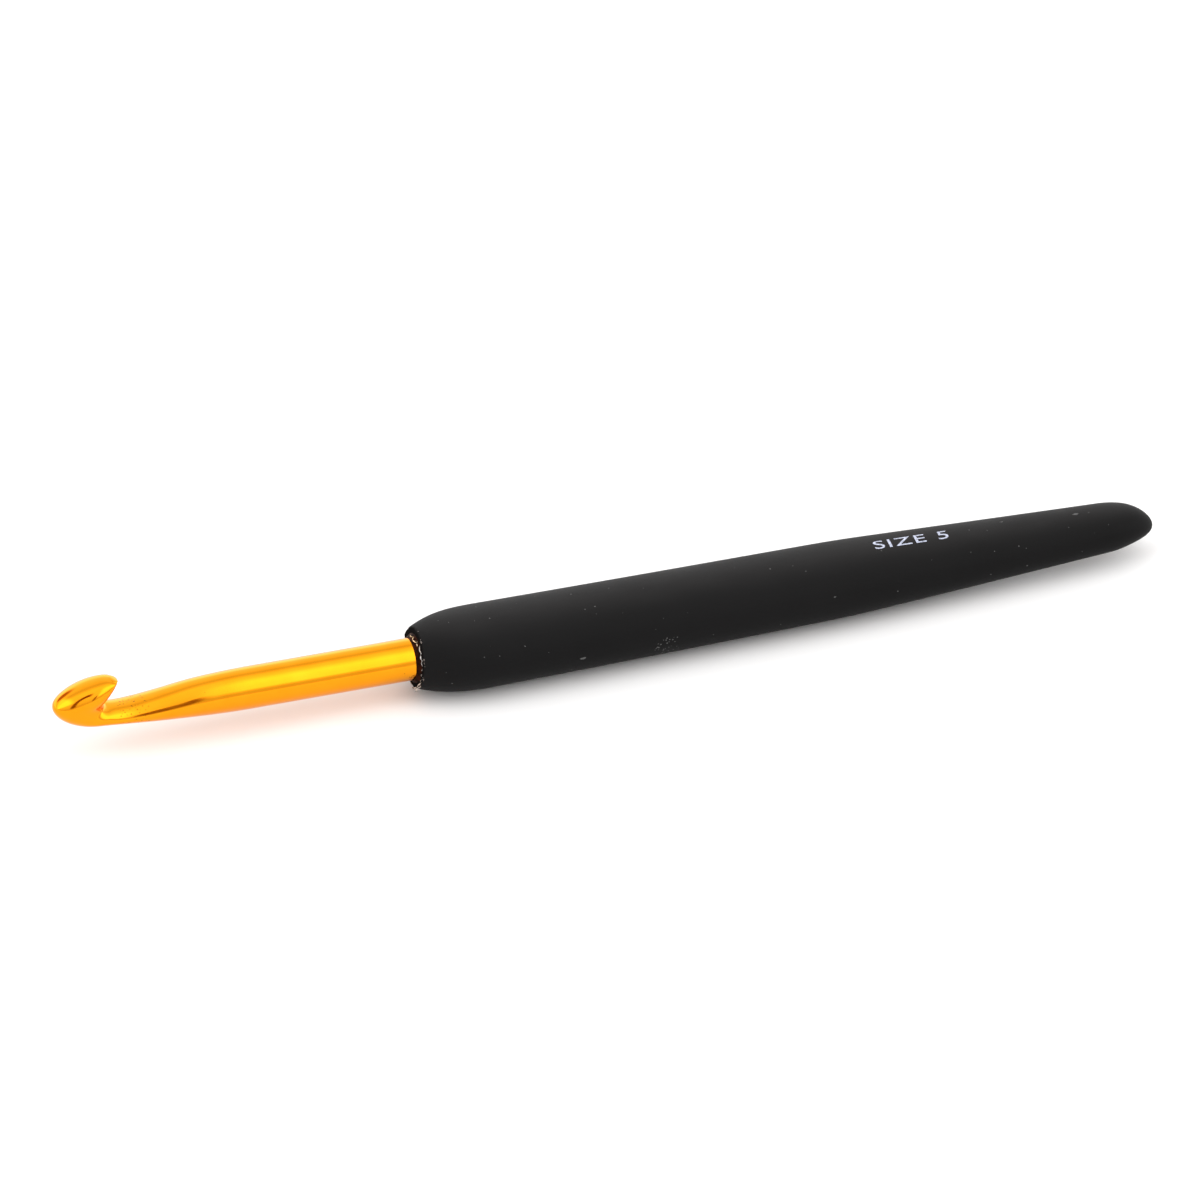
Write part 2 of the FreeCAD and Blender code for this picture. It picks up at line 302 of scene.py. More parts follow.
# ------------------------------------------------------------------ material helpers
SPECK_CORE = 0.9            # a speck's least size, as a share of the size asked for
SPECK_WOBBLE = 1.4          # and how uneven its outline is
WOBBLE_SCALE = 9.0


class Nodes:
    """A short way to write one node material."""

    def __init__(self, name):
        self.material = bpy.data.materials.new(name)
        self.material.use_nodes = True
        self.tree = self.material.node_tree
        self.shader = self.tree.nodes["Principled BSDF"]
        self.place = self.add("ShaderNodeTexCoord").outputs["Object"]

    def add(self, kind, inputs=None, **settings):
        node = self.tree.nodes.new(kind)
        for key, value in settings.items():
            setattr(node, key, value)
        for key, value in (inputs or {}).items():
            self.feed(node.inputs[key], value)
        return node

    def feed(self, socket, value):
        if isinstance(value, bpy.types.NodeSocket):
            self.tree.links.new(value, socket)
        else:
            socket.default_value = value

    def math(self, operation, a, b=0.0):
        return self.add("ShaderNodeMath", {0: a, 1: b}, operation=operation).outputs[0]

    def noise(self, scale, detail=2.0, stretch=(1, 1, 1), roughness=0.5):
        """Noise in the object's own metres; scale is in cycles per millimetre."""
        spread = self.add("ShaderNodeMapping", {"Vector": self.place, "Scale": stretch})
        node = self.add("ShaderNodeTexNoise", {
            "Vector": spread.outputs[0], "Scale": scale / MM, "Detail": detail, "Roughness": roughness})
        return node.outputs["Fac"]

    def grey(self, value, low, high, out_low=0.0, out_high=1.0):
        """A value from low to high, brought to the range from out_low to out_high and kept inside it."""
        node = self.add("ShaderNodeMapRange", {
            "Value": value, "From Min": low, "From Max": high, "To Min": out_low, "To Max": out_high})
        return node.outputs[0]

    def mix(self, factor, a, b):
        """Colour a where factor is 0, and b where it is 1."""
        node = self.add("ShaderNodeMix", data_type="RGBA")
        self.feed(node.inputs[0], factor)
        self.feed(node.inputs[6], a if isinstance(a, bpy.types.NodeSocket) else (*a, 1))
        self.feed(node.inputs[7], b if isinstance(b, bpy.types.NodeSocket) else (*b, 1))
        return node.outputs[2]

    def bump(self, height, strength, depth_mm, below=None):
        """The normal of a surface with this relief, on top of the relief that below already has."""
        inputs = {"Height": height, "Strength": strength, "Distance": depth_mm * MM}
        if below is not None:
            inputs["Normal"] = below
        return self.add("ShaderNodeBump", inputs).outputs[0]

    def specks(self, scale, share, size, stretch=(1, 1, 1)):
        """Small scattered spots, 1 inside and 0 outside: share of the cells hold one.

        scale is in cells per millimetre, and size is a spot's rough diameter as a share of a cell.
        """
        bent = self.add("ShaderNodeMapping", {"Vector": self.place, "Scale": stretch})
        cells = self.add("ShaderNodeTexVoronoi", {"Vector": bent.outputs[0], "Scale": scale / MM})
        chosen = self.add("ShaderNodeSeparateColor", {"Color": cells.outputs["Color"]})
        lucky = self.math("LESS_THAN", chosen.outputs[0], share)
        spread = self.math("MULTIPLY", chosen.outputs[1], size)
        wobble = self.math("MULTIPLY", self.noise(WOBBLE_SCALE, detail=3.0), size * SPECK_WOBBLE)
        near = self.math("LESS_THAN", self.math("ADD", cells.outputs["Distance"], wobble),
                         self.math("ADD", spread, size * SPECK_CORE))
        return self.math("MULTIPLY", lucky, near)

    def mask(self, label):
        """A value that the mesh holds for each of its points, under this name."""
        return self.add("ShaderNodeAttribute", attribute_name=label).outputs["Fac"]

    def set(self, **values):
        """Feeds the shader's inputs, with _ for a space in a name, and gives the finished material."""
        for key, value in values.items():
            self.feed(self.shader.inputs[key.replace("_", " ")], value)
        return self.material


GOLD = (0.885, 0.325, 0.009)
GOLD_HAZED = (0.86, 0.305, 0.007)
PIT_DARK = (0.25, 0.06, 0.003)
PIT_COVER = 0.7             # how far a pit's colour covers the gold


def gold_material():
    """Anodised aluminium: drawn lengthwise, with faint drawing lines, pits and a little haze."""
    m = Nodes("gold_anodised")
    lines = m.noise(1.0, detail=3.0, stretch=(0.06, 9.0, 9.0), roughness=0.6)
    haze = m.noise(0.35, detail=4.0)
    pits = m.math("MAXIMUM", m.specks(1.2, share=0.12, size=0.08),
                  m.math("MULTIPLY", m.specks(3.5, share=0.9, size=0.30), m.mask("by_throat")))
    colour = m.mix(m.grey(haze, 0.35, 0.7), GOLD, GOLD_HAZED)
    colour = m.mix(m.math("MULTIPLY", pits, PIT_COVER), colour, PIT_DARK)
    rough = m.math("ADD", m.grey(haze, 0.3, 0.7, 0.085, 0.115), m.grey(lines, 0.3, 0.7, -0.01, 0.02))
    normal = m.bump(lines, strength=0.14, depth_mm=0.004)
    normal = m.bump(m.math("MULTIPLY", pits, -1.0), strength=0.5, depth_mm=0.01, below=normal)
    return m.set(Base_Color=colour, Metallic=1.0, Roughness=rough, Normal=normal)


COATING = (0.0062, 0.0061, 0.0062)
COATING_CLOUDED = (0.0076, 0.0074, 0.0076)
COATING_SHINE = 0.055       # specular level, on the outside only, because the mouth's face is dull
COATING_SHEEN = 0.01
# painted light from above: the coating's colour is made paler where its surface faces up
TOP_LIGHT_TONE = (0.26, 0.25, 0.25)
TOP_LIGHT_SLOPE = 0.40           # the upward part of the normal from which the painted light from above starts
TOP_LIGHT_POWER = 6.0            # how quickly that painted light strengthens towards the top
TOP_LIGHT_COVER = 0.046          # and how far it covers the coating there
LINT_TONE = (0.15, 0.15, 0.15)
LINT_COVER = 0.55
# more lint clings to one stretch of the underside: its middle, from the mouth, and its half length
LINT_PATCH = (29.4, 1.4)
PATCH_SLOPE = 0.1           # the upward part of the normal below which it clings
CHIP_TONE = (0.30, 0.27, 0.25)
CHIP_COVER = 0.7
CHIP_LEVEL = 0.50           # noise above this chips the coating at the mouth's rim
CHIP_FADE = 2.2             # and above this much more, for each millimetre from the rim


def skin_material():
    """Soft-touch coating: near black, fine grain, with painted light from above making it paler on top,
    with lint on it.
    """
    m = Nodes("soft_touch_black")
    grain = m.noise(7.0, detail=3.0)
    cloud = m.noise(0.12, detail=4.0)
    upward = m.add("ShaderNodeSeparateXYZ", {0: m.add("ShaderNodeNewGeometry").outputs["Normal"]})
    uneven = m.grey(m.noise(0.5, detail=4.0, stretch=(0.35, 1, 1)), 0.2, 0.8, 0.75, 1.15)
    # painted light from above: paler where the normal points up, and uneven along the handle
    painted_top_light = m.math("POWER", m.grey(upward.outputs["Z"], TOP_LIGHT_SLOPE, 1.0), TOP_LIGHT_POWER)
    painted_top_light = m.math("MULTIPLY", painted_top_light, uneven)
    from_rim = m.mask("from_rim")
    chip_noise = m.math("MULTIPLY", m.grey(m.noise(1.1, detail=2.0), 0.42, 0.62),
                        m.noise(4.5, detail=3.0))
    chip_limit = m.math("ADD", m.math("MULTIPLY", from_rim, CHIP_FADE), CHIP_LEVEL)
    chipped = m.math("GREATER_THAN", chip_noise, chip_limit)
    fibres = m.specks(1.05, share=0.45, size=0.085)
    fluff = m.specks(0.9, share=0.12, size=0.14, stretch=(0.5, 1, 1))
    off_patch = m.math("ABSOLUTE", m.math("SUBTRACT", from_rim, LINT_PATCH[0]))
    patch = m.math("LESS_THAN", off_patch, LINT_PATCH[1])
    patch = m.math("MULTIPLY", patch, m.math("LESS_THAN", upward.outputs["Z"], PATCH_SLOPE))
    patch = m.math("MULTIPLY", patch, m.specks(3.0, share=0.7, size=0.28))
    lint = m.math("MAXIMUM", m.math("MAXIMUM", fibres, fluff), patch)
    in_mouth = m.mask("in_mouth")
    colour = m.mix(m.grey(cloud, 0.3, 0.7), COATING, COATING_CLOUDED)
    colour = m.mix(m.math("MULTIPLY", painted_top_light, TOP_LIGHT_COVER), colour, TOP_LIGHT_TONE)
    colour = m.mix(m.math("MULTIPLY", lint, LINT_COVER), colour, LINT_TONE)
    colour = m.mix(m.math("MULTIPLY", chipped, CHIP_COVER), colour, CHIP_TONE)
    rough = m.math("ADD", m.grey(cloud, 0.3, 0.7, 0.50, 0.58), m.grey(grain, 0.3, 0.7, -0.04, 0.05))
    normal = m.bump(grain, strength=0.35, depth_mm=0.012)
    normal = m.bump(m.math("MULTIPLY", chipped, -1.0), strength=0.8, depth_mm=0.03, below=normal)
    normal = m.bump(lint, strength=0.5, depth_mm=0.02, below=normal)
    return m.set(Base_Color=colour, Roughness=rough, Normal=normal,
                 Specular_IOR_Level=m.grey(in_mouth, 0, 1, COATING_SHINE, 0.0),
                 Sheen_Weight=m.grey(in_mouth, 0, 1, COATING_SHEEN, 0.0), Sheen_Roughness=0.4)


# painted shade of the mouth's recess, with a reddish painted reflection of the gold in it
RESIN_GOLD_REFLECTION = (0.032, 0.006, 0.001)
RESIN_SHADE = (0.004, 0.0015, 0.001)


def adhesive_material():
    """Hardened adhesive, coloured as painted shade in the mouth's recess: dark brown, and reddish where
    it is thin, as a painted reflection of the gold.
    """
    m = Nodes("adhesive_painted_shade")
    cloud = m.noise(1.6, detail=4.0)
    colour = m.mix(m.grey(cloud, 0.35, 0.65), RESIN_GOLD_REFLECTION, RESIN_SHADE)
    return m.set(Base_Color=colour, Roughness=m.grey(cloud, 0.3, 0.7, 0.35, 0.55),
                 Normal=m.bump(cloud, strength=0.6, depth_mm=0.05), Specular_IOR_Level=0.03)


FRAY_WHITE = (0.60, 0.57, 0.55)
# painted reflection of the gold: a cream tint on the pale shreds beside the metal
FRAY_GOLD_REFLECTION = (0.88, 0.62, 0.36)
FRAY_DIRT = (0.050, 0.038, 0.030)


def fray_material():
    """Torn edge of the coating: pale inside, dirty in places, and cream beside the metal, where the
    cream is a painted reflection of the gold.
    """
    m = Nodes("coating_frayed")
    dirt = m.noise(3.2, detail=3.0)
    pale = m.mix(m.mask("gold_reflected"), FRAY_WHITE, FRAY_GOLD_REFLECTION)
    colour = m.mix(m.grey(dirt, 0.50, 0.62), pale, FRAY_DIRT)
    return m.set(Base_Color=colour, Roughness=0.75, Specular_IOR_Level=0.15,
                 Normal=m.bump(dirt, strength=0.6, depth_mm=0.04))


CORE_DARK = (0.018, 0.018, 0.020)
CORE_PALE = (0.026, 0.026, 0.028)


def core_material():
    """Hard dark plastic of the core, which the skin hides."""
    m = Nodes("core_plastic")
    grain = m.noise(3.0, detail=3.0)
    colour = m.mix(grain, CORE_DARK, CORE_PALE)
    return m.set(Base_Color=colour, Roughness=m.grey(grain, 0.3, 0.7, 0.42, 0.52),
                 Normal=m.bump(grain, strength=0.2, depth_mm=0.01))


INK_THIN = (0.26, 0.28, 0.36)
INK_FULL = (0.56, 0.60, 0.74)


def ink_material():
    """Pad-printed ink: cool white, thin in places."""
    m = Nodes("print_white")
    cover = m.noise(5.0, detail=4.0)
    colour = m.mix(m.grey(cover, 0.35, 0.62), INK_THIN, INK_FULL)
    return m.set(Base_Color=colour, Roughness=m.grey(cover, 0.3, 0.7, 0.45, 0.6),
                 Normal=m.bump(cover, strength=0.3, depth_mm=0.01), Specular_IOR_Level=0.3)


FLOOR_DARKER = (0.84, 0.84, 0.84)
FLOOR_PALER = (0.85, 0.85, 0.85)


def floor_material():
    """Matt, nearly white table."""
    m = Nodes("pale_floor")
    tone = m.noise(0.01, detail=2.0)
    colour = m.mix(tone, FLOOR_DARKER, FLOOR_PALER)
    return m.set(Base_Color=colour, Roughness=0.9, Specular_IOR_Level=0.1)


# ------------------------------------------------------------------ hook
LIP_ROUND = 0.26            # how far the lip's rounded end reaches past its last row
LIP_TURNS = (20, 40, 58, 74, 86)    # its rings, in degrees round it
LIP_AIM = 8                 # it points away from the ring that is this many from the last
SHAFT_ROWS = (14.0, 16.5, 19.0, 20.5)   # distances of the rows of round shaft before the neck's
SHAFT_START = 13.5          # distance of the first ring of plain shaft, behind those rows
ROW_STEPS = 10              # rings from one row to the next
RING_STEP = 0.5             # distance between plain rings
SHOULDER_INSET = 0.05       # extra rings beside the shoulder's edges keep its face flat
SHOULDER_STEP = 0.02
PITTED = (32.5, 36.2)       # the stretch of the neck with the most pits, as distances from the mouth


def hook_rings():
    """Rings from the tang's end, forward along the shaft and neck, round the throat and up the lip."""
    rows = []
    for reach in SHAFT_ROWS:
        rows.append((-reach, SHAFT_RADIUS, -reach, -SHAFT_RADIUS, SHAFT_RADIUS, 2.0))
    for reach, top, bottom, half_width in NECK:
        rows.append((-reach, top, -reach, bottom, half_width, 2.0))
    for inner_angle, outer_angle, half_width in HEAD:
        rows.append((*throat_point(math.radians(inner_angle)), *head_outline(outer_angle),
                     half_width, WALL_EDGE))
    wall_angle = UNDERCUT - math.radians(270)
    for climb, outer_angle, half_width in LIP:
        rows.append((*throat_point(wall_angle, climb), *head_outline(outer_angle),
                     half_width, WALL_EDGE))
    body = [section(row[0:2], row[2:4], row[4], row[5]) for row in smooth_rows(rows, ROW_STEPS)]
    lip_end = body[-1]
    middle = lip_end.mean(0)
    outward = middle - body[-LIP_AIM].mean(0)
    outward /= np.linalg.norm(outward)
    cap = []
    for degrees in LIP_TURNS:
        turn = math.radians(degrees)
        cap.append(middle + (lip_end - middle) * math.cos(turn) + outward * LIP_ROUND * math.sin(turn))
    shaft = [circle(-reach, SHAFT_RADIUS) for reach in np.arange(SHAFT_START, -SHOULDER, -RING_STEP)]
    shoulder = [circle(SHOULDER, SHAFT_RADIUS), circle(SHOULDER, SHAFT_RADIUS - SHOULDER_INSET),
                circle(SHOULDER, TANG_RADIUS + SHOULDER_INSET),
                circle(SHOULDER + SHOULDER_STEP, TANG_RADIUS)]
    tang = [circle(reach, TANG_RADIUS) for reach in np.linspace(SHOULDER + 1, FLAT_START, 12)]
    flats = [circle(reach, TANG_RADIUS, FLAT_LEVEL) for reach in np.linspace(FLAT_START, TANG_END, 8)]
    return flats[::-1] + tang[::-1] + shoulder[::-1] + shaft[::-1] + body + cap


# ------------------------------------------------------------------ round the handle's mouth
RIM_ROUND = 0.16            # radius of the rim's rounded edge
RAG_SEED = 7
RAG_CYCLES = (5, 46)        # of each wave of a ragged edge, in one turn
RAG_FALL = 0.35             # how much smaller the quicker waves are
AROUND_TURNS = np.linspace(0, 2 * math.pi, AROUND, endpoint=False)
# humps that stand out of the mouth's face: where, in degrees round the mouth from its lowest point by
# way of its far side, then how wide, in degrees, and how high, in millimetres
FLASH = [(112, 12, 0.14), (318, 9, 0.16), (336, 6, 0.20)]


def rag(turn, seed, waves, size):
    """A ragged but repeatable wander round a ring."""
    chance = np.random.default_rng(seed)
    total = np.zeros_like(turn)
    for _ in range(waves):
        cycles = chance.integers(*RAG_CYCLES)
        wave = chance.normal() * np.sin(cycles * turn + chance.uniform(0, 2 * math.pi))
        total += wave / cycles ** RAG_FALL
    return size * total / math.sqrt(waves)


def mouth_lean(height):
    """How far the slanted face of the mouth is set back at a height over the shaft's axis."""
    return MOUTH_SLANT * (height - SPINE_RISE + MOUTH_HEIGHT) / (2 * MOUTH_HEIGHT)


def mouth_lift():
    """How far the ragged edge of the mouth sinks in, round the mouth."""
    lift = rag(AROUND_TURNS, RAG_SEED + 1, waves=14, size=0.05)
    for middle, width, height in FLASH:
        away = (np.degrees(AROUND_TURNS) - middle + 180) % 360 - 180
        lift -= height * np.exp(-(away / width) ** 2)
    return lift


def pushed_out(ring, amounts):
    """A ring of the handle, each point moved away from its middle."""
    outward = ring - ring.mean(0)
    outward[:, 0] = 0
    outward /= np.linalg.norm(outward, axis=1)[:, None]
    return ring + outward * np.asarray(amounts)[:, None]


# ------------------------------------------------------------------ grip skin
# from_rim is a distance from the mouth's rim, and in_mouth is 1 inside the rim: see the coating
HIDDEN = 9.0                # from_rim of the cavity, which is past any chip
BORE_INSET = 0.06           # extra rings beside the bore's and pocket's edges keep their faces flat
POCKET_INSET = 0.04
POCKET_RING = 0.25          # how deep the ring inside the pocket's front edge is
POCKET_FROM_RIM = 0.9
FACE_SHARES = (0.0, 0.12, 0.3, 0.5, 0.7, 0.88, 1.0)     # the mouth's face, from its pocket to its rim
FACE_RAGGED = 0.4           # how ragged the face is beside the pocket, as a share of the rim
FACE_WIDE = 0.5             # from_rim beside the pocket
FACE_EDGE = 0.05            # and beside the rim
RIM_TURNS = (75, 60, 45, 30, 15, 0)     # rings of the rounded rim, in degrees
RIM_WANDER = 0.8
RIM_OUTSIDE = 0.02          # from_rim where the rounded rim ends
WANDER_FADE = 0.9           # distance from the mouth where the coating's surface is even again
CLOSE_RINGS = (0.2, 0.26, 0.34, 0.44, 0.56, 0.7, 0.86, 1.05, 1.3, 1.6, 1.95)
PLAIN_START = 2.4
DOME_TURNS = (2, 88.5, 48)  # the butt's first and last ring, in degrees round its dome, and how many


def skin_rings():
    """Rings from the cavity's rear, forward through it, over the mouth's rim and back to the butt."""
    rings, from_rim, in_mouth = [], [], []

    def put(ring, distance, inside=0.0):
        rings.append(ring)
        from_rim.append(distance)
        in_mouth.append(inside)

    for reach in np.linspace(CORE_END, SHOULDER, 40):
        put(handle_ring(reach, SKIN_WALL), HIDDEN)
    for reach, radius in ((SHOULDER, SHAFT_RADIUS + BORE_INSET), (SHOULDER, SHAFT_RADIUS),
                          (BOND_DEPTH, SHAFT_RADIUS), (BOND_DEPTH, SHAFT_RADIUS + POCKET_INSET),
                          (BOND_DEPTH, BOND_RADIUS - POCKET_INSET), (BOND_DEPTH, BOND_RADIUS)):
        put(circle(reach, radius), HIDDEN)
    pocket = circle(0, BOND_RADIUS)
    edge = handle_ring(0, RIM_ROUND)
    wander = rag(AROUND_TURNS, RAG_SEED, waves=14, size=0.045)
    lift = mouth_lift()
    deep = pocket.copy()
    deep[:, 0] = mouth_lean(deep[:, 2]) + POCKET_RING
    put(deep, POCKET_FROM_RIM, 1.0)
    for share in FACE_SHARES:
        ring = pocket * (1 - share) + edge * share
        ring[:, 0] = mouth_lean(ring[:, 2]) + lift * (FACE_RAGGED + (1 - FACE_RAGGED) * share)
        put(ring, FACE_WIDE * (1 - share) + FACE_EDGE, 1.0)
    for degrees in RIM_TURNS:
        bend = math.radians(degrees)
        ring = handle_ring(RIM_ROUND * (1 - math.sin(bend)), RIM_ROUND * (1 - math.cos(bend)))
        ring[:, 0] += lift * math.sin(bend)
        ring = pushed_out(ring, wander * math.cos(bend) * RIM_WANDER)
        put(ring, RIM_OUTSIDE * (1 - degrees / 90), degrees / 90)
    for reach in CLOSE_RINGS:
        fade = max(0.0, 1 - reach / WANDER_FADE)
        put(pushed_out(handle_ring(reach), wander * fade * RIM_WANDER), reach)
    dome_start = HANDLE_LENGTH - DOME_LENGTH
    for reach in np.arange(PLAIN_START, dome_start, RING_STEP):
        put(handle_ring(reach), reach)
    for degrees in np.linspace(*DOME_TURNS):
        reach = dome_start + DOME_LENGTH * math.sin(math.radians(degrees))
        put(handle_ring(reach), reach)
    return rings, from_rim, in_mouth


# ------------------------------------------------------------------ bond ring
BOND_EDGE = 0.03            # size of the round at the ring's rear edge
# its outline: distance from the mouth, radius, and 1 where it follows the mouth's slanted face
BOND_OUTLINE = [
    (BOND_DEPTH, 2.80, 0), (BOND_DEPTH, 2.87, 0), (BOND_DEPTH - BOND_EDGE, 2.895, 0),
    (0.9, 2.895, 0.1), (0.3, 2.895, 1), (0.05, 2.90, 1), (0.03, 2.93, 1), (0.0, 2.96, 1),
    (-0.03, 2.94, 1), (-0.04, 2.89, 1), (-0.05, 2.84, 0.9), (-0.08, 2.74, 0.6), (-0.14, 2.64, 0.3),
    (-0.22, 2.57, 0.1), (-0.18, 2.505, 0), (-0.05, 2.502, 0), (0.6, 2.502, 0),
    (BOND_DEPTH - BOND_EDGE, 2.502, 0), (BOND_DEPTH, 2.53, 0),
]
BOND_FRONT = 0.2            # the outline is uneven in front of this distance
BOND_UNEVEN = 0.4           # lengthwise, as a share of how uneven it is outward


def bond_rings():
    """Hardened adhesive: it fills the pocket in the mouth and creeps a little way along the shaft."""
    uneven = rag(AROUND_TURNS, RAG_SEED + 2, waves=12, size=0.04)
    rings = []
    for reach, radius, follows in BOND_OUTLINE:
        ring = circle(0, radius)
        if radius > BOND_RADIUS:
            ring *= 1 + uneven[:, None] / radius
        front = 1.0 if reach < BOND_FRONT else 0.0
        ring[:, 0] = reach + follows * mouth_lean(ring[:, 2]) + front * uneven * BOND_UNEVEN
        rings.append(ring)
    return rings


# ------------------------------------------------------------------ frayed edge of the coating
# each shred: from and to, in degrees round the mouth, its radius from the shaft's axis, its half
# thickness, how far it stands out of the mouth, and how much painted gold reflection tints it cream
SHREDS = [
    (150, 178, 2.64, 0.070, 0.40, 1.0),
    (170, 200, 2.66, 0.095, 0.46, 1.0),
    (192, 215, 2.76, 0.085, 0.25, 0.8),
    (209, 230, 2.95, 0.080, 0.14, 0.2),
    (226, 246, 3.05, 0.095, 0.16, 0.0),
    (243, 257, 3.06, 0.060, 0.10, 0.0),
    (262, 268, 3.05, 0.060, 0.05, 0.2),
    (276, 283, 3.10, 0.060, 0.05, 0.2),
    (288, 296, 3.30, 0.065, 0.08, 0.3),
    (294, 318, 3.46, 0.085, 0.20, 0.3),
    (300, 327, 3.74, 0.080, 0.34, 0.2),
    (314, 342, 3.48, 0.075, 0.44, 0.3),
    (306, 322, 3.92, 0.055, 0.52, 0.1),
]
SHRED_SIDES = 10
SHRED_STEP = 1.2            # degrees from one ring to the next
SHRED_TAPER = 0.6           # power of its taper: less is blunter
SHRED_FULL = 0.75           # its usual thickness, as a share of the one asked for
SHRED_LEAST = 0.012         # its least half thickness
SHRED_SEEDS = 10            # the first shred's seed, counted from the rim's, with three for each


def shred_rings(number, start, stop, radius, thick, out):
    """A thin, crooked shred along the mouth's rim, tapered to both ends."""
    turns = np.radians(np.arange(start, stop + 0.1, SHRED_STEP))
    along = np.linspace(0, math.pi, len(turns))
    seed = RAG_SEED + SHRED_SEEDS + 3 * number
    fullness = SHRED_FULL + rag(turns * 3, seed, waves=8, size=0.35)
    swell = np.maximum(np.sin(along) ** SHRED_TAPER * fullness * thick, SHRED_LEAST)
    away = radius + rag(turns * 2, seed + 1, waves=8, size=0.05)
    ahead = out * np.sin(along) + rag(turns * 2, seed + 2, waves=8, size=0.035)
    sides = np.linspace(0, 2 * math.pi, SHRED_SIDES, endpoint=False)
    rings = []
    for turn, size, reach, forward in zip(turns, swell, away, ahead):
        spread = reach + size * np.cos(sides)
        height = -spread * math.cos(turn)
        ring = np.stack([mouth_lean(-reach * math.cos(turn)) - forward + size * np.sin(sides),
                         spread * math.sin(turn), height + SPINE_RISE], axis=1)
        rings.append(ring)
    return rings


# ------------------------------------------------------------------ printed size mark
MARK = "SIZE 5"
MARK_HEIGHT = 1.5
MARK_LENGTH = 9.0
MARK_START = 56.4
MARK_TURN = math.radians(-2)    # towards the camera's side of the handle's top line
MARK_THICK = 0.016
MARK_SINK = 0.004           # how much of that is under the coating's surface
MARK_CAPITAL = 0.70         # a capital's height, as a share of the type's size
MARK_SPACING = 1.12
MARK_FACET = 0.25           # longest edge of the letters' faces, so that they bend round the handle


def size_mark(material):
    """A plain size mark in ink, wrapped onto the top of the handle."""
    text = bpy.data.curves.new("mark_text", "FONT")
    text.body = MARK
    text.size = MARK_HEIGHT / MARK_CAPITAL
    text.extrude = MARK_THICK / 2
    text.space_character = MARK_SPACING
    text.resolution_u = 6
    flat = bpy.data.objects.new("mark_text", text)
    bpy.context.scene.collection.objects.link(flat)
    bpy.context.view_layer.update()
    mesh = bpy.data.meshes.new_from_object(flat.evaluated_get(bpy.context.evaluated_depsgraph_get()))
    bpy.data.objects.remove(flat)
    fine = bmesh.new()
    fine.from_mesh(mesh)
    bmesh.ops.triangulate(fine, faces=fine.faces)
    for _ in range(4):
        long_edges = [edge for edge in fine.edges if edge.calc_length() > MARK_FACET]
        if not long_edges:
            break
        bmesh.ops.subdivide_edges(fine, edges=long_edges, cuts=1, use_grid_fill=True)
        bmesh.ops.triangulate(fine, faces=fine.faces)
    fine.to_mesh(mesh)
    fine.free()
    points = np.array([vertex.co for vertex in mesh.vertices])
    left, right = points[:, 0].min(), points[:, 0].max()
    wrapped = []
    for along, up, off in points:
        reach = MARK_START + (along - left) / (right - left) * MARK_LENGTH
        half = handle_half_height(reach)
        half_width = handle_half_width(reach)
        turn = MARK_TURN + (up - MARK_HEIGHT / 2) / half_width
        normal = np.array([0, math.sin(turn) / half_width, math.cos(turn) / half])
        normal /= np.linalg.norm(normal)
        height = handle_centre(reach) + half * math.cos(turn)
        base = np.array([reach, half_width * math.sin(turn), height])
        wrapped.append(base + normal * (off + MARK_THICK / 2 - MARK_SINK))
    mesh.vertices.foreach_set("co", place(wrapped).ravel())
    mesh.update()
    return finished("size_mark", mesh, material)


# ------------------------------------------------------------------ build the tool
hook_outline = hook_rings()
pitted = [float(PITTED[0] < -ring[:, 0].mean() < PITTED[1]) for ring in hook_outline]
hook_piece = ring_mesh("hook_metal", [hook_outline], gold_material(),
                       masks={"by_throat": [pitted]})
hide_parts("hook")

skin_outline, from_rim, in_mouth = skin_rings()
skin_piece = ring_mesh("grip_skin_soft", [skin_outline], skin_material(),
                       masks={"from_rim": [from_rim], "in_mouth": [in_mouth]})
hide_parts("grip_skin")

bond_piece = ring_mesh("bond_ring_resin", [bond_rings()], adhesive_material(), looped=True)
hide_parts("bond_ring")

shreds = [shred_rings(number, *shred[:5]) for number, shred in enumerate(SHREDS)]
gold_reflected = [[shred[5]] * len(rings) for shred, rings in zip(SHREDS, shreds)]
ring_mesh("frayed_edge", shreds, fray_material(), masks={"gold_reflected": gold_reflected})

size_mark(ink_material())

core = frame["nodes"]["handle_core"]
core.data.materials.clear()
core.data.materials.append(core_material())

# ------------------------------------------------------------------ floor
FLOOR_HALF = 3.0
floor_mesh = bpy.data.meshes.new("floor")
floor_mesh.from_pydata(
    [(-FLOOR_HALF, -FLOOR_HALF, 0), (FLOOR_HALF, -FLOOR_HALF, 0),
     (FLOOR_HALF, FLOOR_HALF, 0), (-FLOOR_HALF, FLOOR_HALF, 0)], [], [(0, 1, 2, 3)])
floor_mesh.materials.append(floor_material())
floor = bpy.data.objects.new("floor", floor_mesh)
bpy.context.scene.collection.objects.link(floor)

# ------------------------------------------------------------------ soft studio light, all round
# how bright the studio is, by degrees up from the horizon in front, over the top, to the one behind
STUDIO = [
    (0, 1.10), (5, 0.95), (15, 1.00), (25, 1.20), (60, 1.50), (95, 1.60), (103, 1.25), (111, 0.97),
    (117, 1.00), (125, 1.25), (135, 1.35), (150, 1.5), (160, 2.0), (180, 2.0),
]
BRIGHTEST = 2.0
# softboxes: light added, then where each one starts and where it is full, as a share of the way to the
# right for its side and in degrees up for its foot and its top
RIGHT_BOX = 1.15
RIGHT_BOX_SIDE = (0.13, 0.30)
RIGHT_BOX_FOOT = (14, 30)
RIGHT_BOX_TOP = (95, 60)
LEFT_BOX = 1.25
LEFT_BOX_SIDE = (-0.48, -0.66)
LEFT_BOX_FOOT = (44, 60)
LEFT_BOX_TOP = (138, 120)
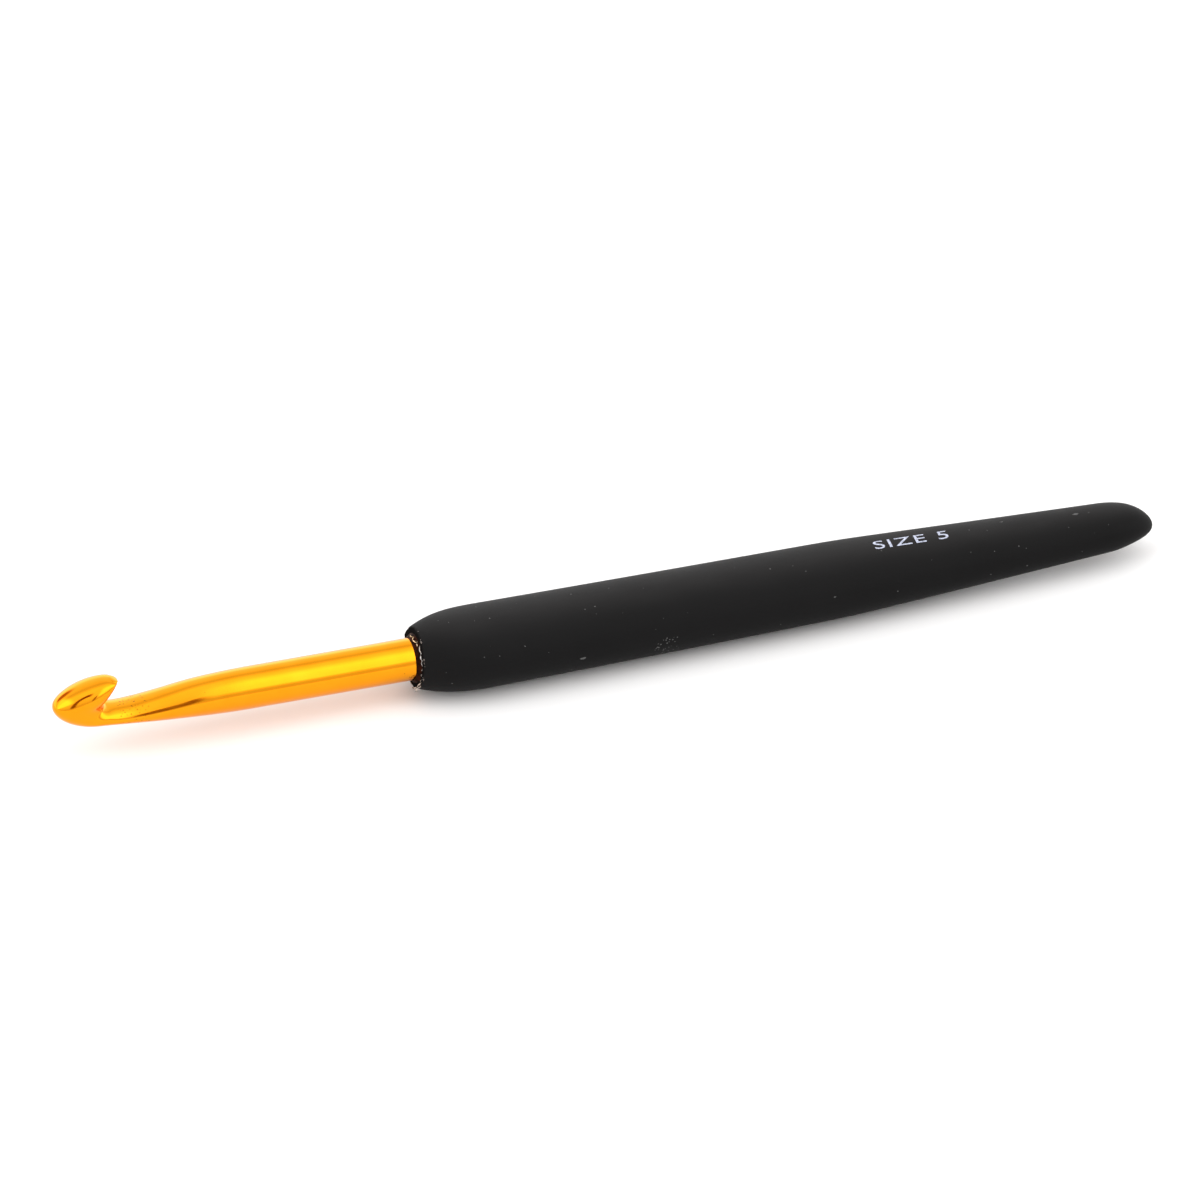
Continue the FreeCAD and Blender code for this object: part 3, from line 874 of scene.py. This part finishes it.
# dark shapes: each is an ellipse, given as the middle's side and lift, half width and half height
OPENING_PLACE = (-0.17, 27.0, 0.38, 43.0)   # the tent's opening, in front
POST_PLACE = (0.153, 22.0, 0.055, 17.0)     # a post on its right
GAP_PLACE = (-0.43, 147.0, 0.24, 13.0)      # a darker gap behind, on the left
OPENING = 0.26              # brightness of the opening's dark edge, and of the post
OPENING_RING = 0.88         # where that edge runs, as a share of the opening's half width and height
OPENING_EDGE = (0.24, 0.12)     # its half width, with and without its soft border
OPENING_FOOT = (4.0, 16.0)  # where it fades out downwards, in degrees
OPENING_LEFT = (0.0, -0.14)     # and to the right, where the post takes over
POST_EDGE = (1.1, 0.6)      # where the post's soft border ends and starts, 1 being its outline
GAP = 0.55                  # brightness of the gap
GAP_EDGE = (1.3, 0.5)       # and its soft border
DARK_TINT = (1.0, 0.46, 0.2, 1)     # colour of all the dark shapes


def studio_light():
    """A white tent with a softbox on each side and a dark-edged opening in front."""
    world = bpy.data.worlds.new("studio")
    bpy.context.scene.world = world
    world.use_nodes = True
    tree = world.node_tree

    def node(kind, inputs, **settings):
        made = tree.nodes.new(kind)
        for key, value in settings.items():
            setattr(made, key, value)
        for key, value in inputs.items():
            if isinstance(value, bpy.types.NodeSocket):
                tree.links.new(value, made.inputs[key])
            else:
                made.inputs[key].default_value = value
        return made

    def math_node(operation, a, b=0.0, c=0.0):
        return node("ShaderNodeMath", {0: a, 1: b, 2: c}, operation=operation).outputs[0]

    def step(value, low, high):
        """0 below low and 1 above high, eased; the other way round where low is over high."""
        made = node("ShaderNodeMapRange", {
            "Value": value, "From Min": min(low, high), "From Max": max(low, high),
            "To Min": float(low > high), "To Max": float(low < high)}, interpolation_type="SMOOTHSTEP")
        return made.outputs[0]

    direction = node("ShaderNodeTexCoord", {}).outputs["Generated"]
    split = node("ShaderNodeSeparateXYZ", {0: direction})
    side = split.outputs["X"]
    lift = math_node("ARCTAN2", split.outputs["Z"], math_node("MULTIPLY", split.outputs["Y"], -1.0))
    degrees = math_node("MULTIPLY", lift, 180 / math.pi)
    ramp = node("ShaderNodeValToRGB", {0: math_node("DIVIDE", degrees, 180.0)})
    while len(ramp.color_ramp.elements) < len(STUDIO):
        ramp.color_ramp.elements.new(0.5)
    for element, (angle, level) in zip(ramp.color_ramp.elements, STUDIO):
        element.position = angle / 180
        element.color = (level / BRIGHTEST,) * 3 + (1,)
    tent = math_node("MULTIPLY", ramp.outputs["Color"], BRIGHTEST)

    def softbox(beside, foot, top):
        """1 inside a softbox and 0 outside, with soft borders."""
        upright = math_node("MULTIPLY", step(degrees, *foot), step(degrees, *top))
        return math_node("MULTIPLY", step(side, *beside), upright)

    def ellipse(side_centre, lift_centre, wide, high):
        """Distance from the middle of an ellipse, 1 on its outline."""
        across = math_node("DIVIDE", math_node("SUBTRACT", side, side_centre), wide)
        along = math_node("DIVIDE", math_node("SUBTRACT", degrees, lift_centre), high)
        squares = math_node("MULTIPLY_ADD", across, across, math_node("MULTIPLY", along, along))
        return math_node("SQRT", squares)

    right_box = softbox(RIGHT_BOX_SIDE, RIGHT_BOX_FOOT, RIGHT_BOX_TOP)
    left_box = softbox(LEFT_BOX_SIDE, LEFT_BOX_FOOT, LEFT_BOX_TOP)
    lit = math_node("MULTIPLY_ADD", right_box, RIGHT_BOX, tent)
    lit = math_node("MULTIPLY_ADD", left_box, LEFT_BOX, lit)
    gap = step(ellipse(*GAP_PLACE), *GAP_EDGE)
    lit = math_node("MULTIPLY_ADD", gap, math_node("SUBTRACT", GAP, lit), lit)
    off_edge = math_node("ABSOLUTE", math_node("SUBTRACT", ellipse(*OPENING_PLACE), OPENING_RING))
    edge = math_node("MULTIPLY", step(off_edge, *OPENING_EDGE), step(degrees, *OPENING_FOOT))
    edge = math_node("MULTIPLY", edge, step(side, *OPENING_LEFT))
    edge = math_node("MAXIMUM", edge, step(ellipse(*POST_PLACE), *POST_EDGE))
    level = math_node("MULTIPLY_ADD", edge, math_node("SUBTRACT", OPENING, lit), lit)
    dark = math_node("MAXIMUM", edge, gap)
    tint = node("ShaderNodeMix", {0: dark, 6: (1, 1, 1, 1), 7: DARK_TINT}, data_type="RGBA")
    background = tree.nodes["Background"]
    tree.links.new(level, background.inputs["Strength"])
    tree.links.new(tint.outputs[2], background.inputs["Color"])


studio_light()

# ------------------------------------------------------------------ camera
AZIMUTH = math.radians(18.5)    # round from the side of the tool, towards its tip
ELEVATION = math.radians(35.6)
FRAME_WIDTH = 0.13910       # of what the camera sees, in metres
AIM_RIGHT = 0.021873        # from the handle's mouth to the middle of the frame
AIM_UP = 0.006804
CAMERA_DISTANCE = 0.6
back = Vector((-math.sin(AZIMUTH) * math.cos(ELEVATION), -math.cos(AZIMUTH) * math.cos(ELEVATION),
               math.sin(ELEVATION)))
right = Vector((math.cos(AZIMUTH), -math.sin(AZIMUTH), 0))
up = back.cross(right)
lens = bpy.data.cameras.new("camera")
lens.type = "ORTHO"
lens.ortho_scale = FRAME_WIDTH
camera = bpy.data.objects.new("camera", lens)
bpy.context.scene.collection.objects.link(camera)
camera.location = mouth_centre + right * AIM_RIGHT + up * AIM_UP + back * CAMERA_DISTANCE
camera.rotation_mode = "QUATERNION"
camera.rotation_quaternion = (-back).to_track_quat("-Z", "Y")
bpy.context.scene.camera = camera
bpy.context.scene.view_settings.view_transform = "Standard"
